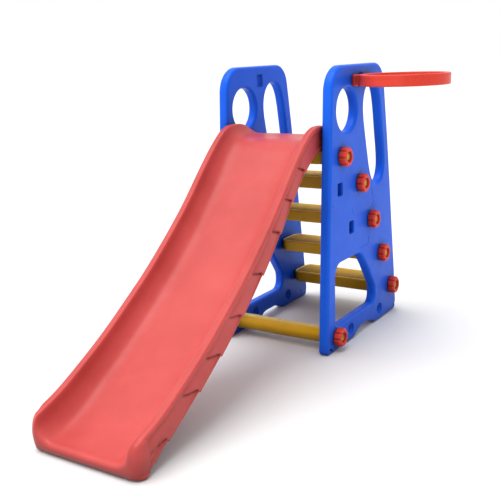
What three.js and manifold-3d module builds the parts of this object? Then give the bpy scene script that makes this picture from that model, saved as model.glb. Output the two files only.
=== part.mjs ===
// Toddler slide: one-piece chute, two side panels, five treads, a front cross tube,
// twelve hand nuts and a clip-on basketball hoop.
// Millimetres. +Z up, +Y from the chute exit towards the ladder, +X towards the hoop side.
// The working datum is the centre plane of the slide; the finished group is moved
// so that the origin is the bottom centre of the bounding box.
import * as THREE from 'three';
import { mergeVertices } from 'three/addons/utils/BufferGeometryUtils.js';
import Module from 'manifold-3d';

const wasm = await Module();
wasm.setup();

// ---- driving dimensions -------------------------------------------------
const PANEL_HEIGHT = 950;        // overall height, top of the side panels
const PANEL_THICKNESS = 36;
const PANEL_INNER_X = 180;       // centre plane to the inner face of a panel
const PANEL_EDGE_R = 10;         // moulded edge radius
const PANEL_OUTER_X = PANEL_INNER_X + PANEL_THICKNESS;

const STUD_R = 12;               // threaded end of each tread and of the tube
const STUD_CLEARANCE = 0.5;
const FIT_GAP = 0.4;             // between pieces that rest against each other

const NUT_R = 32;
const NUT_THICKNESS = 27;
const NUT_LOBES = 8;
const NUT_LOBE_DEPTH = 2.6;
const STUD_END_X = PANEL_OUTER_X + 21.5;

const TREAD_DEPTH = 130;
const TREAD_HEIGHT = 46;
const TREAD_TOP_ABOVE_STUD = 25;
const TREAD_HALF_LENGTH = PANEL_INNER_X - FIT_GAP;
const TREAD_CORNER_R = 30;
const TREAD_EDGE_R = 7;
const TREAD_RIDGES = 7;
const TREAD_RIDGE_HEIGHT = 2;

// stud centres (y, z), the top tread first
const TREAD_AXES = [[-83, 658], [54, 551], [147, 406], [238, 261], [330, 112]];
const TUBE_AXIS = [-131.5, 49.5];
const TUBE_R = 29;

const CHUTE_HALF_WIDTH = 175;    // between the panels; the chute widens a little towards its exit
const CHUTE_FLARE = 8;           // extra half width at the exit
const CHUTE_FLARE_Y = [-250, -1130];
const CHUTE_EDGE_R = 9;
const PLATFORM_TOP_Z = 717;
const PLATFORM_BOTTOM_Z = TREAD_AXES[0][1] + TREAD_TOP_ABOVE_STUD + FIT_GAP;
const PLATFORM_REAR_Y = 24;
const CHUTE_FRONT_Y = -1150;

const HOOP_R = 148;
const HOOP_BAND = 15;            // radial width of the ring
const HOOP_TOP_Z = 917;
const HOOP_HEIGHT = 37;
const HOOP_PLATE = 12;           // thickness of the plate against the panel
const HOOP_PLATE_LENGTH = 136;

const SOCKET_W = 36;             // along y
const SOCKET_H = 42;             // along z
const SOCKET_DEPTH = 20;
const SOCKETS = [[62, 898.5], [-98, 551], [-12, 407]];

// where the box centre of the whole object lies in the working datum
const ORIGIN_X = 137.5;
const ORIGIN_Y = -377.5;

// ---- materials ----------------------------------------------------------
const blue = () => new THREE.MeshStandardMaterial({ color: 0x2f62d6, roughness: 0.42, metalness: 0 });
const red = () => new THREE.MeshStandardMaterial({ color: 0xe8504a, roughness: 0.4, metalness: 0 });
const yellow = () => new THREE.MeshStandardMaterial({ color: 0xe3a91c, roughness: 0.45, metalness: 0 });

// ---- helpers ------------------------------------------------------------
const V = (a) => new THREE.Vector2(a[0], a[1]);

// polygon with a fillet radius per corner: [u, v, r]
function filleted(corners, arcStep = 0.3) {
  const out = [];
  const n = corners.length;
  for (let i = 0; i < n; i++) {
    const p = V(corners[i]), a = V(corners[(i + n - 1) % n]), b = V(corners[(i + 1) % n]);
    const r = corners[i][2] || 0;
    const da = a.clone().sub(p).normalize(), db = b.clone().sub(p).normalize();
    const ang = Math.acos(Math.min(1, Math.max(-1, da.dot(db))));
    if (r <= 0 || Math.abs(Math.PI - ang) < 1e-3) { out.push(p); continue; }
    const t = r / Math.tan(ang / 2);
    const c = p.clone().add(da.clone().add(db).normalize().multiplyScalar(r / Math.sin(ang / 2)));
    const s = p.clone().addScaledVector(da, t), e = p.clone().addScaledVector(db, t);
    let a0 = Math.atan2(s.y - c.y, s.x - c.x), a1 = Math.atan2(e.y - c.y, e.x - c.x);
    while (a1 - a0 > Math.PI) a1 -= 2 * Math.PI;
    while (a1 - a0 < -Math.PI) a1 += 2 * Math.PI;
    const k = Math.max(1, Math.ceil(Math.abs(a1 - a0) / arcStep));
    for (let j = 0; j <= k; j++) {
      const w = a0 + (a1 - a0) * j / k;
      out.push(new THREE.Vector2(c.x + r * Math.cos(w), c.y + r * Math.sin(w)));
    }
  }
  return out;
}

function smoothLoop(points, count) {
  const c = new THREE.CatmullRomCurve3(points.map((p) => new THREE.Vector3(p[0], p[1], 0)), true, 'centripetal');
  return c.getSpacedPoints(count).slice(0, count).map((p) => new THREE.Vector2(p.x, p.y));
}

function ellipse(cu, cv, a, b, count) {
  const out = [];
  for (let i = 0; i < count; i++) {
    const w = 2 * Math.PI * i / count;
    out.push(new THREE.Vector2(cu + a * Math.cos(w), cv + b * Math.sin(w)));
  }
  return out;
}

// local (x, y, z) -> (Y, Z, X): a profile drawn in the y-z plane, extruded along +X
const TO_SIDE = new THREE.Matrix4().makeBasis(
  new THREE.Vector3(0, 1, 0), new THREE.Vector3(0, 0, 1), new THREE.Vector3(1, 0, 0));

function sideExtrude(outline, x0, x1, bevel = 0, segments = 2, holes = []) {
  const s = new THREE.Shape(outline);
  for (const h of holes) s.holes.push(new THREE.Path(h));
  const g = new THREE.ExtrudeGeometry(s, {
    depth: x1 - x0 - 2 * bevel, steps: 1, curveSegments: 1,
    bevelEnabled: bevel > 0, bevelThickness: bevel, bevelSize: bevel, bevelOffset: -bevel, bevelSegments: segments,
  });
  g.translate(0, 0, x0 + bevel);
  return g.applyMatrix4(TO_SIDE);
}

function planExtrude(outline, z0, z1, bevel = 0, segments = 2) {
  const g = new THREE.ExtrudeGeometry(new THREE.Shape(outline), {
    depth: z1 - z0 - 2 * bevel, steps: 1, curveSegments: 1,
    bevelEnabled: bevel > 0, bevelThickness: bevel, bevelSize: bevel, bevelOffset: -bevel, bevelSegments: segments,
  });
  g.translate(0, 0, z0 + bevel);
  return g;
}

function toManifold(geometry) {
  let g = geometry.clone();
  for (const k of Object.keys(g.attributes)) if (k !== 'position') g.deleteAttribute(k);
  g = mergeVertices(g, 1e-4);
  const m = new wasm.Manifold(new wasm.Mesh({
    numProp: 3,
    vertProperties: new Float32Array(g.attributes.position.array),
    triVerts: new Uint32Array(g.index.array),
  }));
  return m;
}

function fromManifold(m) {
  const r = m.getMesh();
  const g = new THREE.BufferGeometry();
  g.setAttribute('position', new THREE.BufferAttribute(new Float32Array(r.vertProperties), 3));
  g.setIndex(new THREE.BufferAttribute(new Uint32Array(r.triVerts), 1));
  return g;
}

function cut(base, tools) {
  let m = toManifold(base);
  for (const t of tools) m = m.subtract(toManifold(t));
  return fromManifold(m);
}

function join(list) {
  let m = toManifold(list[0]);
  for (const t of list.slice(1)) m = m.add(toManifold(t));
  return fromManifold(m);
}

function mirrored(geometry) {
  const g = geometry.clone();
  g.applyMatrix4(new THREE.Matrix4().makeScale(-1, 1, 1));
  const idx = g.index.array;
  for (let i = 0; i < idx.length; i += 3) { const t = idx[i]; idx[i] = idx[i + 1]; idx[i + 1] = t; }
  return g;
}

const group = new THREE.Group();
group.name = 'toddler_slide';
function add(name, geometry, material) {
  let g = geometry;
  g.translate(-ORIGIN_X, -ORIGIN_Y, 0);
  if (!g.attributes.normal) g.computeVertexNormals();
  const m = new THREE.Mesh(g, material);
  m.name = name;
  group.add(m);
}

// ---- side panels --------------------------------------------------------
const PANEL_OUTLINE = [
  [-204.5, 0, 14], [8, 0, 34], [52, 24, 60], [135, 24, 60], [196, 0, 34], [384, 0, 15],
  [390.5, 36, 30], [376, 160, 260], [350, 340, 500], [326, 510, 500], [300, 680, 500],
  [273, 838, 160], [252, PANEL_HEIGHT, 76], [-149, PANEL_HEIGHT, 88],
];
const PORTHOLE = { y: -40, z: 806, a: 84, b: 80 };
const HAND_SLOT = [
  [152, 890], [118, 878], [95, 850], [84, 812], [87, 770], [98, 726], [110, 684], [123, 641], [137, 600],
  [154, 563], [178, 536], [210, 527], [242, 541], [260, 574], [262, 612], [256, 655], [247, 700],
  [238, 750], [228, 800], [213, 847], [188, 879],
];
const LOW_WINDOW = [
  [-136, 84, 20], [186, 84, 30], [187, 142, 44], [118, 238, 150], [62, 300, 52], [-136, 300, 44],
];

function panelGeometry() {
  const base = sideExtrude(filleted(PANEL_OUTLINE, 0.22), PANEL_INNER_X, PANEL_OUTER_X, PANEL_EDGE_R, 3, [
    ellipse(PORTHOLE.y, PORTHOLE.z, PORTHOLE.a - PANEL_EDGE_R * 0.6, PORTHOLE.b - PANEL_EDGE_R * 0.6, 40),
    smoothLoop(HAND_SLOT, 44),
    filleted(LOW_WINDOW, 0.26),
  ]);
  const tools = [];
  for (const [y, z] of [...TREAD_AXES, TUBE_AXIS]) {
    tools.push(sideExtrude(ellipse(y, z, STUD_R + STUD_CLEARANCE, STUD_R + STUD_CLEARANCE, 24), PANEL_INNER_X - 5, PANEL_OUTER_X + 5));
  }
  for (const [y, z] of SOCKETS) {
    const w = SOCKET_W / 2, h = SOCKET_H / 2;
    const box = filleted([[y - w, z - h, 4], [y + w, z - h, 4], [y + w, z + h, 4], [y - w, z + h, 4]], 0.8);
    tools.push(sideExtrude(box, PANEL_OUTER_X - SOCKET_DEPTH, PANEL_OUTER_X + 5));
    if (z > 800) tools.push(sideExtrude(box, PANEL_INNER_X - 5, PANEL_INNER_X + 10));
  }
  for (const [y, z] of [[228, 42], [-22, 42]]) {
    for (const side of [0, 1]) {
      const f = side ? PANEL_OUTER_X : PANEL_INNER_X, d = side ? -1 : 1;
      const span = (depth) => (d < 0 ? [f - depth, f + 4] : [f - 4, f + depth]);
      tools.push(sideExtrude(ellipse(y, z, 22, 22, 24), ...span(6)));
      tools.push(sideExtrude(ellipse(y, z, 13, 13, 16), ...span(12)));
    }
  }
  // small keyways at the outer ends of the feet
  for (const [y, z, a] of [[374, 17, 0.6], [-176, 15, -0.5]]) {
    const c = Math.cos(a), s = Math.sin(a);
    const rect = [[-13, -4], [13, -4], [13, 4], [-13, 4]].map(([u, v]) => new THREE.Vector2(y + u * c - v * s, z + u * s + v * c));
    tools.push(sideExtrude(rect, PANEL_OUTER_X - 9, PANEL_OUTER_X + 4));
  }
  return cut(base, tools);
}
const rightPanel = panelGeometry();
add('side_panel_left', mirrored(rightPanel), blue());
add('side_panel_right', rightPanel, blue());

// ---- treads -------------------------------------------------------------
function studPair(y, z) {
  const full = new THREE.LatheGeometry([
    [0, -STUD_END_X], [STUD_R - 2, -STUD_END_X], [STUD_R, -STUD_END_X + 2],
    [STUD_R, STUD_END_X - 2], [STUD_R - 2, STUD_END_X], [0, STUD_END_X],
  ].map(V), 24);
  full.rotateZ(-Math.PI / 2);
  full.translate(0, y, z);
  return full;
}

function treadGeometry(y, z) {
  const top = z + TREAD_TOP_ABOVE_STUD, bottom = top - TREAD_HEIGHT;
  const f = y - TREAD_DEPTH / 2, r = y + TREAD_DEPTH / 2, L = TREAD_HALF_LENGTH;
  const plan = filleted([
    [-L, f, TREAD_CORNER_R], [L, f, TREAD_CORNER_R], [L, r, TREAD_CORNER_R], [-L, r, TREAD_CORNER_R],
  ], 0.27);
  const body = planExtrude(plan, bottom, top - TREAD_RIDGE_HEIGHT, TREAD_EDGE_R, 2);
  const parts = [body];
  const pitch = (TREAD_DEPTH - 34) / (TREAD_RIDGES - 1);
  for (let i = 0; i < TREAD_RIDGES; i++) {
    const c = f + 17 + pitch * i, t = top - TREAD_RIDGE_HEIGHT;
    const ridge = [[c - 4.2, t - 2], [c + 4.2, t - 2], [c + 4.2, t], [c + 2.2, t + TREAD_RIDGE_HEIGHT], [c - 2.2, t + TREAD_RIDGE_HEIGHT], [c - 4.2, t]];
    parts.push(sideExtrude(ridge.map(V), -L + 30, L - 30));
  }
  parts.push(studPair(y, z));
  return join(parts);
}
TREAD_AXES.forEach(([y, z], i) => add(`tread_${i + 1}`, treadGeometry(y, z), yellow()));

// ---- front cross tube ---------------------------------------------------
{
  const [y, z] = TUBE_AXIS;
  const L = TREAD_HALF_LENGTH;
  const tube = new THREE.LatheGeometry([
    [0, -L], [TUBE_R - 4, -L], [TUBE_R, -L + 4], [TUBE_R, L - 4], [TUBE_R - 4, L], [0, L],
  ].map(V), 36);
  tube.rotateZ(-Math.PI / 2);
  tube.translate(0, y, z);
  add('front_cross_tube', join([tube, studPair(y, z)]), yellow());
}

// ---- hand nuts ----------------------------------------------------------
function nutGeometry(y, z) {
  const outline = [];
  const per = 4;
  for (let i = 0; i < NUT_LOBES * per; i++) {
    const w = 2 * Math.PI * i / (NUT_LOBES * per);
    const r = NUT_R - NUT_LOBE_DEPTH + NUT_LOBE_DEPTH * Math.cos(w * NUT_LOBES);
    outline.push(new THREE.Vector2(y + r * Math.cos(w), z + r * Math.sin(w)));
  }
  const bore = ellipse(y, z, STUD_R + STUD_CLEARANCE + 1.5, STUD_R + STUD_CLEARANCE + 1.5, 20);
  return sideExtrude(outline, PANEL_OUTER_X + FIT_GAP, PANEL_OUTER_X + FIT_GAP + NUT_THICKNESS, 3, 1, [bore]);
}
[...TREAD_AXES, TUBE_AXIS].forEach(([y, z], i) => {
  const tag = i < 5 ? `tread_${i + 1}` : 'tube';
  const g = mergeVertices((() => { const n = nutGeometry(y, z); n.deleteAttribute('normal'); n.deleteAttribute('uv'); return n; })(), 1e-4);
  add(`nut_${tag}_left`, mirrored(g), red());
  add(`nut_${tag}_right`, g, red());
});

// ---- chute --------------------------------------------------------------
const RIM_TOP = [   // exit to ladder
  [-1138, 99], [-1050, 129], [-950, 178], [-850, 234], [-750, 299], [-650, 368], [-550, 447],
  [-450, 534], [-350, 634], [-300, 682], [-250, 724], [-215, 748], [-180, 760.5], [-150, 762.5],
  [-118, 761], [-92, 755], [-68, 745], [-44, 733], [-22, 723], [0, PLATFORM_TOP_Z + 1],
];
const UNDERSIDE = [ // ladder to exit, one bulge per transverse rib
  [-158, PLATFORM_BOTTOM_Z], [-196, 664], [-222, 650], [-244, 648], [-272, 620], [-300, 594], [-322, 582], [-345, 546],
  [-376, 512], [-400, 497], [-424, 458], [-456, 427], [-482, 411], [-508, 380], [-540, 353], [-568, 340],
  [-594, 307], [-628, 281], [-658, 272], [-684, 247], [-722, 221], [-752, 213], [-778, 187], [-816, 163],
  [-846, 157], [-874, 129], [-912, 106], [-942, 101], [-968, 73], [-1004, 51], [-1034, 52], [-1060, 31], [-1088, 18],
];
const BED = [       // sliding surface on the centre line, exit to ladder
  [-1215, 45], [-1180, 38.5], [-1150, 36], [-1120, 37], [-1085, 43], [-1050, 54], [-1000, 76], [-950, 104], [-850, 161], [-750, 224],
  [-650, 293], [-550, 370], [-450, 455], [-350, 556], [-300, 609], [-255, 658], [-215, 693], [-180, 711], [-145, 717],
  [-100, 717.4], [-50, 718], [0, 719.5], [60, 722],
];

const smoothstep = (t) => { const c = Math.min(1, Math.max(0, t)); return c * c * (3 - 2 * c); };
const flareAt = (y) => CHUTE_FLARE * smoothstep((y - CHUTE_FLARE_Y[0]) / (CHUTE_FLARE_Y[1] - CHUTE_FLARE_Y[0]));
// the skirt gets a little shallower where the chute is wider, but keeps its foot on the floor
const undersideLift = (y) => 1.2 * flareAt(y) * (1 - smoothstep((-1010 - y) / 78));

function chuteGeometry() {
  const rim = new THREE.CatmullRomCurve3(RIM_TOP.map((p) => new THREE.Vector3(p[0], p[1], 0)), false, 'centripetal')
    .getSpacedPoints(58).map((p) => new THREE.Vector2(p.x, p.y));
  const outline = [
    ...filleted([[CHUTE_FRONT_Y + 19, 0, 8], [CHUTE_FRONT_Y + 42, 0, 0]], 0.6).slice(-1),
    ...UNDERSIDE.slice().reverse().map(([y, z]) => V([y, z + undersideLift(y)])),
    V([PLATFORM_REAR_Y - 8, PLATFORM_BOTTOM_Z]), V([PLATFORM_REAR_Y - 2, PLATFORM_BOTTOM_Z + 3]),
    V([PLATFORM_REAR_Y, PLATFORM_BOTTOM_Z + 9]), V([PLATFORM_REAR_Y, PLATFORM_TOP_Z - 9]),
    V([PLATFORM_REAR_Y - 3, PLATFORM_TOP_Z - 2.5]), V([PLATFORM_REAR_Y - 9, PLATFORM_TOP_Z]),
    ...rim.slice().reverse(),
    V([-1145, 93]), V([-1149, 84]), V([CHUTE_FRONT_Y, 72]), V([CHUTE_FRONT_Y, 46]), V([CHUTE_FRONT_Y + 2, 26]), V([CHUTE_FRONT_Y + 8, 12]),
    V([CHUTE_FRONT_Y + 18, 0]),
  ];
  const body = sideExtrude(outline, -CHUTE_HALF_WIDTH, CHUTE_HALF_WIDTH, CHUTE_EDGE_R, 2);

  // trough: a filleted U section swept along the bed line
  const path = new THREE.CatmullRomCurve3(BED.map((p) => new THREE.Vector3(0, p[0], p[1])), false, 'centripetal');
  const half = [[104, 0.8], [118, 3.2], [128.5, 8.5], [136, 16.5], [141, 27], [144.5, 40], [147.5, 54], [149.5, 64], [151, 76], [151.5, 130]];
  const frames = path.computeFrenetFrames(4, false);
  const up = Math.sign(frames.binormals[2].z) || 1;
  const section = [...half.map(([x, h]) => [x, h * up]), ...half.slice().reverse().map(([x, h]) => [-x, h * up])];
  section.push([-60, 0], [60, 0]);
  const cutter = new THREE.ExtrudeGeometry(new THREE.Shape(section.map(V)), {
    steps: 64, bevelEnabled: false, extrudePath: path, curveSegments: 1,
  });
  const g = cut(body, [cutter]);
  const p = g.attributes.position;
  for (let i = 0; i < p.count; i++) p.setX(i, p.getX(i) * (1 + flareAt(p.getY(i)) / CHUTE_HALF_WIDTH));
  return g;
}
add('chute', chuteGeometry(), red());

// ---- basketball hoop ----------------------------------------------------
function hoopGeometry() {
  const z0 = HOOP_TOP_Z - HOOP_HEIGHT, z1 = HOOP_TOP_Z;
  const y = SOCKETS[0][0];
  const plateX = PANEL_OUTER_X + FIT_GAP;
  const cx = plateX + HOOP_PLATE / 2 + HOOP_R;
  const ro = HOOP_R, ri = HOOP_R - HOOP_BAND, b = 3;
  const ring = new THREE.LatheGeometry([
    [ri + b, z0], [ro - b, z0], [ro, z0 + b], [ro, z1 - b], [ro - b, z1], [ri + b, z1], [ri, z1 - b], [ri, z0 + b], [ri + b, z0],
  ].map(V), 64);
  ring.rotateX(Math.PI / 2);
  ring.translate(cx, y, 0);
  const plateOutline = filleted([
    [y - HOOP_PLATE_LENGTH / 2, z0, 5], [y + HOOP_PLATE_LENGTH / 2, z0, 5],
    [y + HOOP_PLATE_LENGTH / 2, z1, 5], [y - HOOP_PLATE_LENGTH / 2, z1, 5],
  ], 0.6);
  const plate = sideExtrude(plateOutline, plateX, plateX + HOOP_PLATE, 2, 1);
  // two webs from the plate to the ring
  const webs = [-1, 1].map((s) => sideExtrude([
    [y + s * 54, z0 + 2], [y + s * 66, z0 + 2], [y + s * 66, z1 - 2], [y + s * 54, z1 - 2],
  ].map(V), plateX + 4, cx - Math.sqrt((ro - HOOP_BAND / 2) ** 2 - 60 ** 2)));
  const w = SOCKET_W / 2 - 1, h = HOOP_HEIGHT / 2 - 1.5, zc = SOCKETS[0][1];
  const plug = sideExtrude(filleted([[y - w, zc - h, 3], [y + w, zc - h, 3], [y + w, zc + h, 3], [y - w, zc + h, 3]], 0.8),
    PANEL_OUTER_X - SOCKET_DEPTH + 2, plateX + 4);
  return join([ring, plate, ...webs, plug]);
}
add('basketball_hoop', hoopGeometry(), red());

export default group;
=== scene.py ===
import bpy, bmesh, math
import numpy as np
from mathutils import Matrix, Vector


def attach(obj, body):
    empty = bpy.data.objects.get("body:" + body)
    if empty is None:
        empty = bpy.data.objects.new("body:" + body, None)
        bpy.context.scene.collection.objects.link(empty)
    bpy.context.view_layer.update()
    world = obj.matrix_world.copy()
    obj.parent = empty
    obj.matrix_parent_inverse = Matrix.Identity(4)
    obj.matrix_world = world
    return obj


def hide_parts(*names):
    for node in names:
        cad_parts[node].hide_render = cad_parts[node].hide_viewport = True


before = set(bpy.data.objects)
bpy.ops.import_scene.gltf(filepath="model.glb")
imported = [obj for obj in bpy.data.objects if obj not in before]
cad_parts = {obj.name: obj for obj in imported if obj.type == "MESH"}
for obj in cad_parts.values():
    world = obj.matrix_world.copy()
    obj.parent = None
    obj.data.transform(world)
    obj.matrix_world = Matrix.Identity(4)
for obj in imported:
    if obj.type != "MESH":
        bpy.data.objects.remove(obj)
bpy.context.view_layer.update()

# ---------------------------------------------------------------- frame
# Working numbers are in millimetres about the slide's middle plane; the row frame is moved by OX, OY.
OX, OY = 137.5, -377.5
def R3(a):
    a = np.asarray(a, float).reshape(-1, 3)
    return (a - np.array([OX, OY, 0.0])) / 1000.0

T_IN, T_OUT = 180.0, 216.0
TREADS = [(-83, 658), (54, 551), (147, 406), (238, 261), (330, 112)]
TUBE = (-131.5, 49.5)
STUD_END = 237.5

# ---------------------------------------------------------------- helpers
def make(name, verts, faces, mats, body="frame", smooth=True, rows=True, replaces=(), face_mats=None):
    me = bpy.data.meshes.new(name)
    v = R3(verts) if rows else np.asarray(verts, float)
    me.from_pydata([tuple(p) for p in v], [], [tuple(int(i) for i in f) for f in faces])
    me.validate(clean_customdata=False)
    ob = bpy.data.objects.new(name, me)
    bpy.context.scene.collection.objects.link(ob)
    bm = bmesh.new(); bm.from_mesh(me)
    bmesh.ops.remove_doubles(bm, verts=bm.verts, dist=1e-6)
    bmesh.ops.recalc_face_normals(bm, faces=bm.faces)
    bm.to_mesh(me); bm.free()
    if smooth:
        for p in me.polygons: p.use_smooth = True
    for m in (mats if isinstance(mats, (list, tuple)) else [mats]): me.materials.append(m)
    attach(ob, body)
    if replaces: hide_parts(*replaces)
    return ob

def catmull(pts, n, closed=False):
    """centripetal Catmull-Rom through pts, resampled to n points evenly along its length"""
    P = np.asarray(pts, float)
    if closed: Q = np.vstack([P[-1], P, P[0], P[1]])
    else: Q = np.vstack([2 * P[0] - P[1], P, 2 * P[-1] - P[-2]])
    out = []
    for i in range(1, len(Q) - 2):
        p0, p1, p2, p3 = Q[i - 1], Q[i], Q[i + 1], Q[i + 2]
        t0 = 0.0
        t1 = t0 + max(np.linalg.norm(p1 - p0), 1e-9) ** .5
        t2 = t1 + max(np.linalg.norm(p2 - p1), 1e-9) ** .5
        t3 = t2 + max(np.linalg.norm(p3 - p2), 1e-9) ** .5
        for t in np.linspace(t1, t2, 24, endpoint=False):
            a1 = (t1 - t) / (t1 - t0) * p0 + (t - t0) / (t1 - t0) * p1
            a2 = (t2 - t) / (t2 - t1) * p1 + (t - t1) / (t2 - t1) * p2
            a3 = (t3 - t) / (t3 - t2) * p2 + (t - t2) / (t3 - t2) * p3
            b1 = (t2 - t) / (t2 - t0) * a1 + (t - t0) / (t2 - t0) * a2
            b2 = (t3 - t) / (t3 - t1) * a2 + (t - t1) / (t3 - t1) * a3
            out.append((t2 - t) / (t2 - t1) * b1 + (t - t1) / (t2 - t1) * b2)
    out = np.array(out)
    if not closed: out = np.vstack([out, P[-1]])
    return resample(out, n, closed)

def resample(P, n, closed=False):
    P = np.asarray(P, float)
    if closed: P = np.vstack([P, P[0]])
    d = np.r_[0, np.cumsum(np.linalg.norm(np.diff(P, axis=0), axis=1))]
    s = np.linspace(0, d[-1], n + 1)[:-1] if closed else np.linspace(0, d[-1], n)
    return np.stack([np.interp(s, d, P[:, k]) for k in range(P.shape[1])], 1)

def filleted(corners, step=0.12):
    out = []
    n = len(corners)
    for i, c in enumerate(corners):
        p = np.array(c[:2], float); r = c[2] if len(c) > 2 else 0
        a = np.array(corners[i - 1][:2], float); b = np.array(corners[(i + 1) % n][:2], float)
        da = (a - p) / np.linalg.norm(a - p); db = (b - p) / np.linalg.norm(b - p)
        ang = math.acos(max(-1, min(1, float(da @ db))))
        if r <= 0 or abs(math.pi - ang) < 1e-3: out.append(p); continue
        t = r / math.tan(ang / 2)
        cc = p + (da + db) / np.linalg.norm(da + db) * (r / math.sin(ang / 2))
        s, e = p + da * t, p + db * t
        a0 = math.atan2(*(s - cc)[::-1]); a1 = math.atan2(*(e - cc)[::-1])
        while a1 - a0 > math.pi: a1 -= 2 * math.pi
        while a1 - a0 < -math.pi: a1 += 2 * math.pi
        k = max(2, math.ceil(abs(a1 - a0) / step))
        for j in range(k + 1):
            w = a0 + (a1 - a0) * j / k
            out.append(cc + r * np.array([math.cos(w), math.sin(w)]))
    return np.array(out)

def densify(P, step):
    """adds points on a closed outline's long edges"""
    out = []
    for i in range(len(P)):
        a, b = P[i], P[(i + 1) % len(P)]
        k = max(1, int(np.linalg.norm(b - a) // step))
        for j in range(k): out.append(a + (b - a) * j / k)
    return np.array(out)

def grid_faces(idx, close_u=False, close_v=False):
    f = []
    nu, nv = idx.shape
    for i in range(nu if close_u else nu - 1):
        for j in range(nv if close_v else nv - 1):
            a, b, c, d = idx[i, j], idx[(i + 1) % nu, j], idx[(i + 1) % nu, (j + 1) % nv], idx[i, (j + 1) % nv]
            f.append((a, b, c, d))
    return f

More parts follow.
